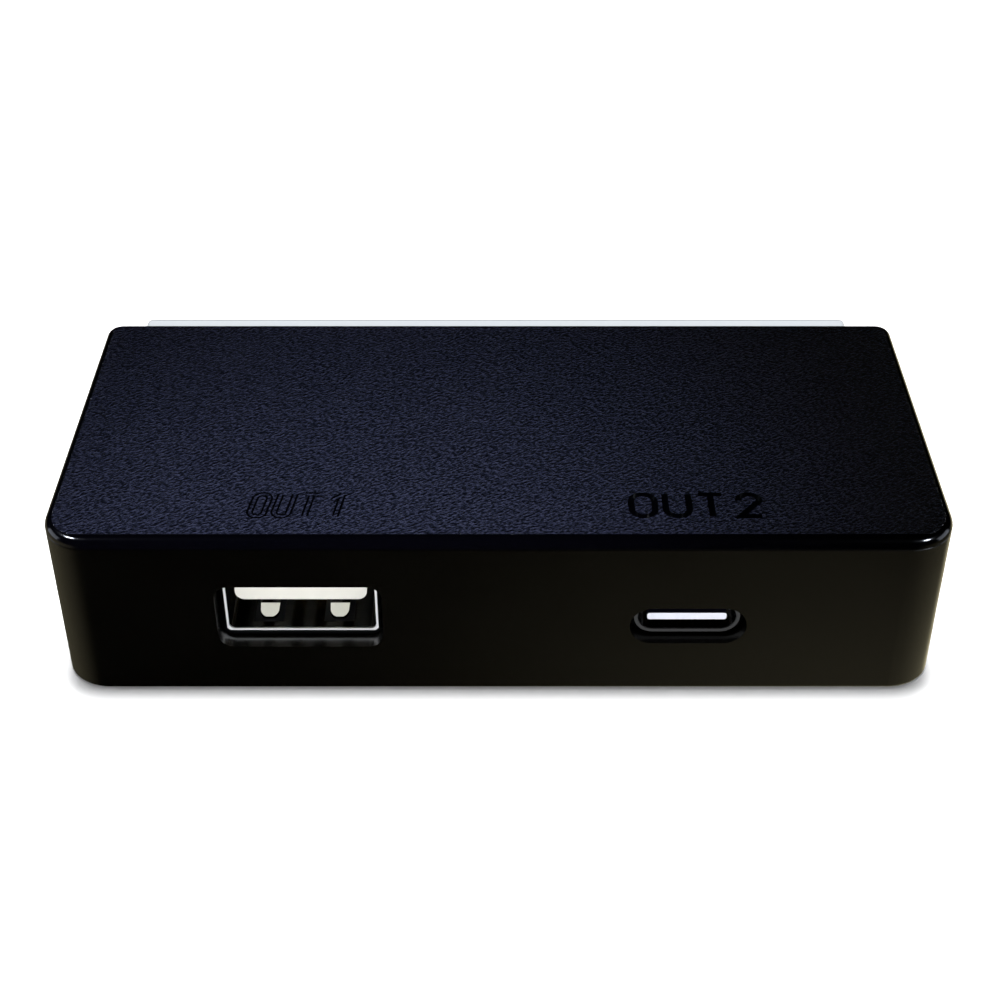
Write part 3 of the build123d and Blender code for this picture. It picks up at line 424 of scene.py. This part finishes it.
def cover_paint():
    """Blue-black plastic: spark-eroded on the level top, polished on the rounded edge; the top's
    colour has painted shade in the pits and painted glints on the peaks.
    """
    paint = Paint("cover_black")
    level = paint.spread(paint.facing("Z"), *COVER_LEVEL)
    surface = paint.spread(paint.axis("Z"), COVER_TOP - 0.10 * MM, COVER_TOP - 0.03 * MM)
    band_end = COVER_LOW.y + POLISHED_FRONT_BAND
    behind_band = paint.spread(paint.axis("Y"), band_end - 0.03 * MM, band_end + 0.03 * MM)
    textured = paint.maths("MULTIPLY", paint.maths("MULTIPLY", level, surface), behind_band)
    worms = paint.noise(WORM_SIZE, 2.0, stretch=WORM_STRETCH, turn=WORM_TURN, roughness=0.55)
    specks = paint.noise(SPECK_SIZE, 2.0)
    speck_heights = paint.maths("MULTIPLY", specks, SPECK_SHARE)
    pits = paint.maths("ADD", paint.spread(worms, *NOISE_USUAL), speck_heights)
    paint.bump(paint.maths("MULTIPLY", pits, textured), TEXTURE_DEPTH)
    paint.drive("Specular IOR Level", paint.spread(textured, 0, 1, *COVER_SPECULAR))
    polished_colour = paint.mixed(worms, *COVER_POLISHED)
    # colour follows the relief: painted shade in the pits, painted glints on the peaks
    pit_shade_and_glint_colour = paint.mixed(paint.spread(pits, *PIT_SHADE_TO_GLINT_HEIGHTS), *COVER_TEXTURED_SHADE_AND_GLINT)
    paint.colour(textured, polished_colour, pit_shade_and_glint_colour)
    paint.drive("Roughness", paint.spread(textured, 0, 1, *COVER_ROUGHNESS))
    return paint.material


def case_paint():
    """Brown-black satin plastic with faint flow marks."""
    paint = Paint("case_black")
    flow = paint.noise(8 * MM, 1, stretch=(1, 1, 1.6))
    paint.colour(flow, *CASE_BROWN)
    paint.vary("Roughness", flow, 0.20, 0.24)
    paint.set_input("Specular IOR Level", 0.45)
    paint.bump(paint.noise(0.25 * MM, 1), 0.002 * MM)
    return paint.material


def metal_paint(name, dark, light, roughness):
    """Metal with fine drawn or rolled lines."""
    paint = Paint(name)
    paint.set(Metallic=1.0)
    lines = paint.noise(0.3 * MM, 3, stretch=(1, 1, 6))
    paint.colour(lines, dark, light)
    paint.vary("Roughness", lines, roughness * 0.8, roughness * 1.3)
    paint.bump(lines, 0.002 * MM)
    return paint.material


def spring_mask(paint, height, along, aside):
    """Where the bottom springs rise from the USB-A shell's sheet near the mouth, facing up; the shell
    paint gives them a painted highlight.
    """
    risen = paint.spread(height, SHEET_TOP + 0.03 * MM, SHEET_TOP + 0.08 * MM)
    half_way = SHEET_TOP + LOWER_HALF_HEIGHT
    lower_half = paint.spread(height, half_way, half_way + 0.05 * MM, 1, 0)
    upward = paint.spread(paint.facing("Z"), 0.5, 0.6)
    off_walls = paint.spread(aside, SPRING_REACH_ASIDE, SPRING_REACH_ASIDE + 0.1 * MM, 1, 0)
    lit_end = SHELL_A_LOW.y + SPRING_LIT_DEPTH
    near_mouth = paint.spread(along, lit_end, lit_end + 0.1 * MM, 1, 0)
    spring = paint.maths("MULTIPLY", risen, lower_half)
    for mask in (upward, off_walls, near_mouth):
        spring = paint.maths("MULTIPLY", spring, mask)
    return spring


def rim_end(paint, along, mouth):
    """The cut edge of a shell's sheet at its mouth."""
    return paint.spread(along, mouth + RIM_DEPTH, mouth + RIM_DEPTH + 0.08 * MM, 1, 0)


def rim_inner_half(paint, height, aside):
    """The part of the USB-A shell inside the middle of its sheet's thickness."""
    side = SHELL_A_HALF_WIDTH - RIM_SIDE_INSET
    inner_side = paint.spread(aside, side, side + 0.04 * MM, 1, 0)
    bottom = SHEET_TOP - RIM_BOTTOM_INSET
    inner_bottom = paint.spread(height, bottom, bottom + 0.04 * MM)
    return paint.maths("MULTIPLY", inner_side, inner_bottom)


def shell_paint():
    """Nickel plating on steel, in dark metal as painted shade inside; a pale colour paints a
    highlight on the USB-A mouth's cut edge and on the springs near the mouth; the cut edges and
    springs are rough, and the springs matt.
    """
    paint = Paint("shell_steel")
    lines = paint.noise(0.3 * MM, 3, stretch=(6, 1, 6))
    height, along, across = (paint.axis(letter) for letter in "ZYX")
    in_usb_a = paint.spread(across, SHELL_A_HIGH.x, SHELL_A_HIGH.x + 0.1 * MM, 1, 0)
    in_usb_c = paint.maths("SUBTRACT", 1.0, in_usb_a)
    aside = paint.maths("ABSOLUTE", paint.maths("SUBTRACT", across, SHELL_A_MIDDLE), 0.0)
    spring = spring_mask(paint, height, along, aside)
    usb_a_end = paint.maths("MULTIPLY", rim_end(paint, along, SHELL_A_LOW.y), in_usb_a)
    usb_a_rim = paint.maths("MULTIPLY", usb_a_end, rim_inner_half(paint, height, aside))
    usb_c_rim = paint.maths("MULTIPLY", rim_end(paint, along, SHELL_C_LOW.y), in_usb_c)
    # painted highlight on the springs and the USB-A mouth's cut edge
    highlight_mask = paint.maths("MAXIMUM", spring, usb_a_rim)
    rough = paint.maths("MAXIMUM", spring, paint.maths("MAXIMUM", usb_a_rim, usb_c_rim))
    painted_shade = paint.mixed(lines, *SHELL_PAINTED_SHADE)
    painted_highlight = paint.mixed(lines, *SHELL_PAINTED_HIGHLIGHT)
    paint.colour(highlight_mask, painted_shade, painted_highlight)
    paint.drive("Metallic", paint.spread(spring, 0, 1, *SHELL_METALLIC))
    paint.drive("Roughness", paint.spread(rough, 0, 1, *SHELL_ROUGHNESS))
    paint.bump(lines, 0.002 * MM)
    return paint.material


def moulded_paint(name, dark, light, roughness):
    """Moulded plastic, epoxy or ceramic with slight mottling and fine relief."""
    paint = Paint(name)
    mottle = paint.noise(1.6 * MM, 3)
    paint.colour(mottle, dark, light)
    paint.vary("Roughness", mottle, roughness - 0.05, roughness + 0.05)
    paint.bump(paint.noise(0.15 * MM, 2), 0.006 * MM)
    return paint.material


def pale_tongue_paint():
    """Blue-white plastic, with dark navy painted shade on the tongue's faces other than the one
    toward the mouth.
    """
    paint = Paint("pale_insulator")
    mottle = paint.noise(1.6 * MM, 3)
    forward = paint.spread(paint.facing("Y"), -0.6, -0.8)
    # painted shade: dark navy on the faces away from the mouth
    paint.colour(forward, paint.mixed(mottle, *TONGUE_PAINTED_SHADE), paint.mixed(mottle, *TONGUE_PALE))
    paint.vary("Roughness", mottle, 0.35, 0.45)
    paint.bump(paint.noise(0.15 * MM, 2), 0.004 * MM)
    return paint.material


def window_paint():
    """Clear acrylic with polished faces, and a pale frosted edge with a darker outline."""
    paint = Paint("clear_window")
    paint.set(IOR=WINDOW_INDEX)
    outer_start = WINDOW_HIGH.y - WINDOW_OUTER_OUTLINE
    left_end = WINDOW_LOW.x + WINDOW_SIDE_OUTLINE
    right_start = WINDOW_HIGH.x - WINDOW_SIDE_OUTLINE
    outer = paint.spread(paint.axis("Y"), outer_start, outer_start + 0.10 * MM)
    left = paint.spread(paint.axis("X"), left_end, left_end - 0.10 * MM)
    right = paint.spread(paint.axis("X"), right_start, right_start + 0.10 * MM)
    outline = paint.maths("MAXIMUM", outer, paint.maths("MAXIMUM", left, right))
    across = paint.maths("ABSOLUTE", paint.facing("Y"), 0.0)
    face = paint.spread(across, 0.6, 0.9)
    frost = paint.noise(0.3 * MM, 3)
    frosted = paint.mixed(frost, *WINDOW_FROSTED)
    edge = paint.mixed(outline, frosted, WINDOW_OUTLINE)
    paint.colour(face, edge, WINDOW_CLEAR)
    paint.drive("Transmission Weight", face)
    paint.drive("Roughness", paint.spread(face, 0, 1, *WINDOW_ROUGHNESS))
    paint.bump(frost, 0.002 * MM)
    return paint.material


def board_paint():
    """Black solder mask over a woven laminate."""
    paint = Paint("board_black")
    patches = paint.noise(4 * MM, 2)
    paint.colour(patches, *BOARD_MASK)
    paint.vary("Roughness", patches, 0.30, 0.42)
    paint.bump(paint.noise(0.5 * MM, 2, stretch=(1, 3, 1)), 0.01 * MM)
    return paint.material


# Dark colour, light colour and roughness for each slot.
PLASTIC = {
    "white_insulator": ((0.70, 0.69, 0.63), (0.76, 0.75, 0.69), 0.45),
    "dark_insulator": ((0.012, 0.012, 0.012), (0.02, 0.02, 0.02), 0.45),
    "tape_black": ((0.010, 0.010, 0.011), (0.016, 0.016, 0.017), 0.7),
    "polariser_film": ((0.13, 0.16, 0.13), (0.16, 0.19, 0.16), 0.35),
    "lcd_glass": ((0.20, 0.24, 0.20), (0.24, 0.28, 0.24), 0.2),
    "light_guide": ((0.80, 0.82, 0.84), (0.85, 0.87, 0.88), 0.3),
    "button_black": ((0.012, 0.012, 0.013), (0.020, 0.020, 0.021), 0.42),
    "ferrite_grey": ((0.035, 0.035, 0.038), (0.06, 0.06, 0.065), 0.6),
    "copper_wire": ((0.36, 0.12, 0.04), (0.48, 0.18, 0.07), 0.3),
    "chip_black": ((0.018, 0.018, 0.020), (0.030, 0.030, 0.032), 0.55),
    "fuse_ceramic": ((0.66, 0.64, 0.58), (0.76, 0.74, 0.68), 0.5),
    "capacitor_tan": ((0.36, 0.25, 0.14), (0.45, 0.32, 0.19), 0.4),
}
METAL = {
    "screw_steel": ((0.34, 0.34, 0.36), (0.46, 0.46, 0.48), 0.32),
    "contact_gold": ((0.78, 0.52, 0.20), (0.88, 0.62, 0.27), 0.22),
    "can_aluminium": ((0.66, 0.66, 0.67), (0.76, 0.76, 0.77), 0.28),
    "tinned_lead": ((0.55, 0.55, 0.57), (0.66, 0.66, 0.68), 0.3),
}


def make_paints():
    """One material for each slot of the record."""
    paints = {
        "cover_black": cover_paint(),
        "case_black": case_paint(),
        "shell_steel": shell_paint(),
        "clear_window": window_paint(),
        "board_black": board_paint(),
        "pale_insulator": pale_tongue_paint(),
    }
    for name, (dark, light, roughness) in PLASTIC.items():
        paints[name] = moulded_paint(name, dark, light, roughness)
    for name, (dark, light, roughness) in METAL.items():
        paints[name] = metal_paint(name, dark, light, roughness)
    return paints


def dress_nodes(paints):
    """Each CAD node gets the material of its slot in the record."""
    slots = {part["node"]: part["material_slot"] for part in frame["record"]["subparts"]}
    for name, node in frame["nodes"].items():
        for slot in node.material_slots:
            slot.material = paints[slots[name]]


# Width of the broken edges on the pressed shells and the moulded housing.
EDGE_BREAKS = {"usb_a_shell": 0.07 * MM, "usb_c_shell": 0.07 * MM, "main_housing": 0.06 * MM}
SHARP_ANGLE = 55  # degrees between two faces that meet in a sharp edge


def soften_edges(name, width):
    """Break a CAD node's sharp edges, without changing its mesh."""
    bevel = frame["nodes"][name].modifiers.new("edge_break", "BEVEL")
    bevel.width = width
    bevel.segments = 2
    bevel.limit_method = "ANGLE"
    bevel.angle_limit = radians(SHARP_ANGLE)


# --- Display segments ---

FILM_MIDDLE_X = (FILM_LOW.x + FILM_HIGH.x) / 2
FILM_MIDDLE_Z = (FILM_LOW.z + FILM_HIGH.z) / 2
SEGMENT_THICKNESS = 0.04 * MM
DIGIT_SIZE = (3.0 * MM, 5.4 * MM)
SEGMENT_WIDTH = 0.55 * MM
SEGMENT_GAP = 0.06 * MM
DIGIT_STEP = 4.1 * MM
DIGITS_PER_GROUP = 4
READINGS = (("left_reading", -9.4 * MM, "0512"), ("right_reading", 9.4 * MM, "0130"))
SEGMENTS_OF = {
    "0": "abcdef", "1": "bc", "2": "abged", "3": "abgcd", "4": "fgbc",
    "5": "afgcd", "6": "afgedc", "7": "abc", "8": "abcdefg", "9": "abcdfg",
}


def segment_ends(letter):
    """Where a segment starts and ends, in digit coordinates from the digit's middle."""
    half_width = DIGIT_SIZE[0] / 2
    half_height = DIGIT_SIZE[1] / 2
    left, right = -half_width, half_width
    return {
        "a": ((left, half_height), (right, half_height)),
        "b": ((right, half_height), (right, 0)),
        "c": ((right, 0), (right, -half_height)),
        "d": ((left, -half_height), (right, -half_height)),
        "e": ((left, 0), (left, -half_height)),
        "f": ((left, half_height), (left, 0)),
        "g": ((left, 0), (right, 0)),
    }[letter]


def add_segment(mesh, middle, start, end):
    """One flat segment with pointed ends, standing in the display's plane."""
    start, end = Vector(start), Vector(end)
    along = (end - start).normalized()
    aside = Vector((-along.y, along.x))
    half = SEGMENT_WIDTH / 2
    start += along * SEGMENT_GAP
    end -= along * SEGMENT_GAP
    outline = [
        start, start + (along + aside) * half, end + (aside - along) * half,
        end, end - (along + aside) * half, start + (along - aside) * half,
    ]
    face_y = FILM_HIGH.y + SEGMENT_THICKNESS
    rear = [mesh.verts.new((middle - point.x, face_y, FILM_MIDDLE_Z + point.y)) for point in outline]
    front = [mesh.verts.new((v.co.x, FILM_HIGH.y, v.co.z)) for v in rear]
    mesh.faces.new(rear)
    mesh.faces.new(reversed(front))
    for index in range(len(rear)):
        following = (index + 1) % len(rear)
        mesh.faces.new((rear[index], front[index], front[following], rear[following]))


def add_reading(name, middle, figures, material):
    """A group of seven-segment figures, read from behind the case."""
    mesh = bmesh.new()
    for place, figure in enumerate(figures):
        offset = (place - (DIGITS_PER_GROUP - 1) / 2) * DIGIT_STEP
        for letter in SEGMENTS_OF[figure]:
            add_segment(mesh, FILM_MIDDLE_X - middle - offset, *segment_ends(letter))
    bmesh.ops.recalc_face_normals(mesh, faces=mesh.faces)
    data = bpy.data.meshes.new(name)
    mesh.to_mesh(data)
    mesh.free()
    reading = bpy.data.objects.new(name, data)
    bpy.context.scene.collection.objects.link(reading)
    data.materials.append(material)
    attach(reading, "case")


def add_display(paints):
    """Two groups of dark figures on the display's film."""
    for name, middle, figures in READINGS:
        add_reading(name, middle, figures, paints["tape_black"])


# --- Scene ---

add_camera()
add_lights()
add_world()
add_floor()
paints = make_paints()
dress_nodes(paints)
for name, width in EDGE_BREAKS.items():
    soften_edges(name, width)
add_display(paints)
bpy.context.scene.view_settings.view_transform = "Standard"
